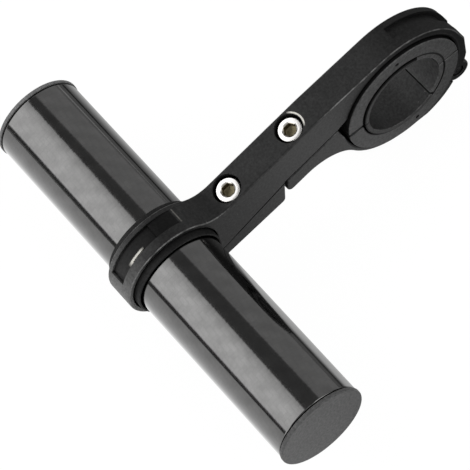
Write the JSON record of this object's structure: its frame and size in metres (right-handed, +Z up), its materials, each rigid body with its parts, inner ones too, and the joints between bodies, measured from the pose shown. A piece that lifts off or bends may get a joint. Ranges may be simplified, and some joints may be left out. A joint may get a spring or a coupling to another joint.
{
  "type": "handlebar extender",
  "caption": "Bicycle handlebar extender: carbon tube in a split ring of a moulded arm with a hinged bar clamp.",
  "frame": {"origin": "on the handlebar clamp's axis, in the middle of the moulded arm's width", "axes": "+X along the clamp's axis and the tube, +Y from the tube towards the handlebar clamp, +Z up, the side the screws go in from"},
  "size_m": [0.1062, 0.1, 0.037],
  "materials": {
    "arm_plastic": "satin glass-filled moulding",
    "jaw_plastic": "satin glass-filled moulding",
    "pin_steel": "blackened",
    "screw_steel": "bright",
    "nut_steel": "plain",
    "carbon_weave": "clear-coated twill weave",
    "cap_plastic": "satin",
    "sleeve_plastic": "dull",
    "shell_plastic": "fine matt",
    "liner_plastic": "fine matt"
  },
  "bodies": {
    "arm": {"arm_body": "arm_plastic", "hinge_pin": "pin_steel", "tube_clamp_nut": "nut_steel", "tube_liner": "sleeve_plastic", "outer_shim_upper": "shell_plastic", "inner_liner_upper": "liner_plastic"},
    "jaw": {"handlebar_jaw": "jaw_plastic", "handlebar_clamp_nut": "nut_steel", "outer_shim_lower": "shell_plastic", "inner_liner_lower": "liner_plastic"},
    "tube": {"carbon_tube": "carbon_weave", "end_plug_right": "cap_plastic", "end_plug_left": "cap_plastic"},
    "tube_screw": {"tube_clamp_screw": "screw_steel"},
    "handlebar_screw": {"handlebar_clamp_screw": "screw_steel"}
  },
  "joints": [
    {"name": "tube_slide", "type": "slide", "parent": "arm", "child": "tube", "axis": [1, 0, 0], "range_m": [-0.0485, 0.0415]},
    {"name": "jaw_hinge", "type": "hinge", "parent": "arm", "child": "jaw", "pos_m": [0, 0.01627, -0.01009], "axis": [1, 0, 0], "range_deg": [0, 80]},
    {"name": "tube_screw_out", "type": "slide", "parent": "arm", "child": "tube_screw", "axis": [0, -0.2453, 0.9694], "range_m": [0, 0.02]},
    {"name": "handlebar_screw_out", "type": "slide", "parent": "arm", "child": "handlebar_screw", "axis": [0, -0.2453, 0.9694], "range_m": [0, 0.02]}
  ]
}
